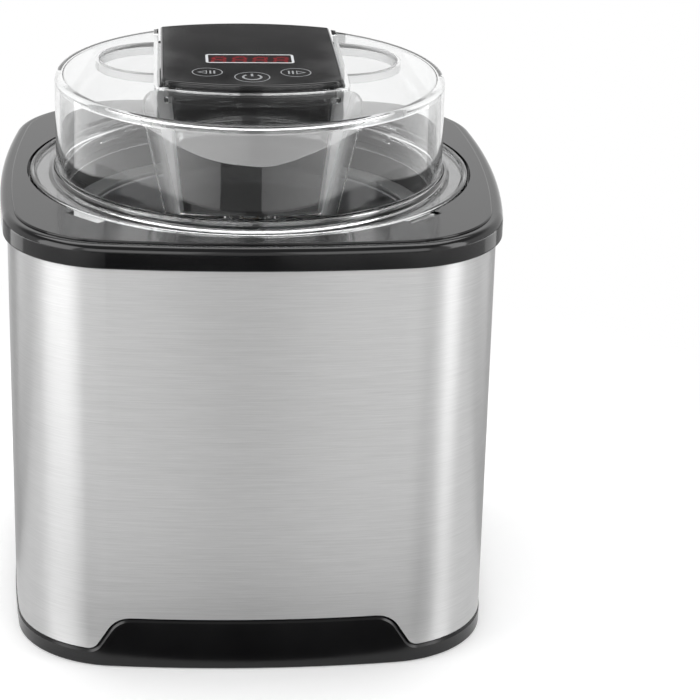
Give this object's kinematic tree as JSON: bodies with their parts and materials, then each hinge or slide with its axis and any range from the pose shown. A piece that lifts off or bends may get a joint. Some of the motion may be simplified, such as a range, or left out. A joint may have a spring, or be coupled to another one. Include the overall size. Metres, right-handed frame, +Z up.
{
  "type": "ice cream maker",
  "caption": "Countertop ice cream maker with a bowed square steel body, removable freezer bowl and paddle, clear drum lid and drop-in drive unit with a display.",
  "frame": {"origin": "on the table, under the middle of the body", "axes": "+Z up along the paddle's axis, the display is read from -Y, +X to the reader's right"},
  "size_m": [0.23, 0.23, 0.253],
  "materials": {
    "black_plastic": "satin moulded black plastic",
    "liner_plastic": "satin moulded dark plastic",
    "rubber": "matt black rubber",
    "brushed_steel": "horizontally brushed stainless steel",
    "screw_steel": "zinc plated",
    "bowl_aluminium": "spun aluminium",
    "bowl_plastic": "satin pale grey plastic",
    "rim_plastic": "satin dark grey plastic",
    "coolant": "blue gel",
    "paddle_plastic": "satin moulded plastic",
    "clear_plastic": "clear polished plastic",
    "drive_plastic": "gloss black plastic",
    "panel_film": "gloss black printed film",
    "display_lens": "smoked window",
    "module_plastic": "matt black plastic",
    "circuit_board": "green solder mask",
    "bush_brass": "sintered bronze",
    "shaft_steel": "ground steel",
    "plate_steel": "pressed steel",
    "motor_steel": "plated motor can",
    "gear_plastic": "natural acetal"
  },
  "bodies": {
    "housing": {"base_tray": "black_plastic", "rubber_feet": "rubber", "base_screws": "screw_steel", "steel_shell": "brushed_steel", "inner_bucket": "liner_plastic", "top_ring": "black_plastic", "ring_screws": "screw_steel"},
    "bowl": {"bowl_cup": "bowl_aluminium", "bowl_shell": "bowl_plastic", "bowl_rim": "rim_plastic", "coolant_gel": "coolant"},
    "paddle": {"mixing_paddle": "paddle_plastic"},
    "lid": {"clear_lid": "clear_plastic", "clear_well": "clear_plastic"},
    "drive_unit": {"drive_tub": "drive_plastic", "drive_cover": "drive_plastic", "panel_film": "panel_film", "display_lens": "display_lens", "display_module": "module_plastic", "control_board": "circuit_board", "board_screws": "screw_steel", "tact_switches": "module_plastic", "tail_screws": "screw_steel", "cord_gland": "rubber", "shaft_bush": "bush_brass", "lay_pin": "shaft_steel", "gearbox_plate": "plate_steel", "plate_screws": "screw_steel", "motor_can": "motor_steel"},
    "minus_button": {"minus_key": "panel_film", "minus_plunger": "module_plastic"},
    "power_button": {"power_key": "panel_film", "power_plunger": "module_plastic"},
    "plus_button": {"plus_key": "panel_film", "plus_plunger": "module_plastic"},
    "rotor": {"motor_pinion": "gear_plastic", "motor_shaft": "shaft_steel"},
    "lay_wheel": {"lay_gear": "gear_plastic"},
    "output": {"output_wheel": "gear_plastic", "output_shaft": "shaft_steel"}
  },
  "joints": [
    {"name": "bowl_lift", "type": "slide", "parent": "housing", "child": "bowl", "axis": [0, 0, 1], "range_m": [0, 0.185]},
    {"name": "lid_lift", "type": "slide", "parent": "bowl", "child": "lid", "axis": [0, 0, 1], "range_m": [0, 0.09]},
    {"name": "drive_lift", "type": "slide", "parent": "lid", "child": "drive_unit", "axis": [0, 0, 1], "range_m": [0, 0.075]},
    {"name": "paddle_spin", "type": "hinge", "parent": "bowl", "child": "paddle", "pos_m": [0, 0, 0.1], "axis": [0, 0, 1], "continuous": true},
    {"name": "output_spin", "type": "hinge", "parent": "drive_unit", "child": "output", "pos_m": [0, 0, 0.2], "axis": [0, 0, 1], "continuous": true},
    {"name": "lay_spin", "type": "hinge", "parent": "drive_unit", "child": "lay_wheel", "pos_m": [0.01336, 0.01336, 0.2], "axis": [0, 0, 1], "continuous": true},
    {"name": "rotor_spin", "type": "hinge", "parent": "drive_unit", "child": "rotor", "pos_m": [0, 0, 0.2], "axis": [0, 0, 1], "continuous": true},
    {"name": "minus_press", "type": "slide", "parent": "drive_unit", "child": "minus_button", "axis": [0, 0, -1], "range_m": [0, 0.0006], "stiffness_N_per_m": 800, "springref_m": -0.0008},
    {"name": "power_press", "type": "slide", "parent": "drive_unit", "child": "power_button", "axis": [0, 0, -1], "range_m": [0, 0.0006], "stiffness_N_per_m": 800, "springref_m": -0.0008},
    {"name": "plus_press", "type": "slide", "parent": "drive_unit", "child": "plus_button", "axis": [0, 0, -1], "range_m": [0, 0.0006], "stiffness_N_per_m": 800, "springref_m": -0.0008}
  ],
  "couplings": [
    {"joint": "output_spin", "follows": "paddle_spin", "ratio": 1},
    {"joint": "lay_spin", "follows": "paddle_spin", "ratio": -3.5},
    {"joint": "rotor_spin", "follows": "paddle_spin", "ratio": 12.25}
  ]
}
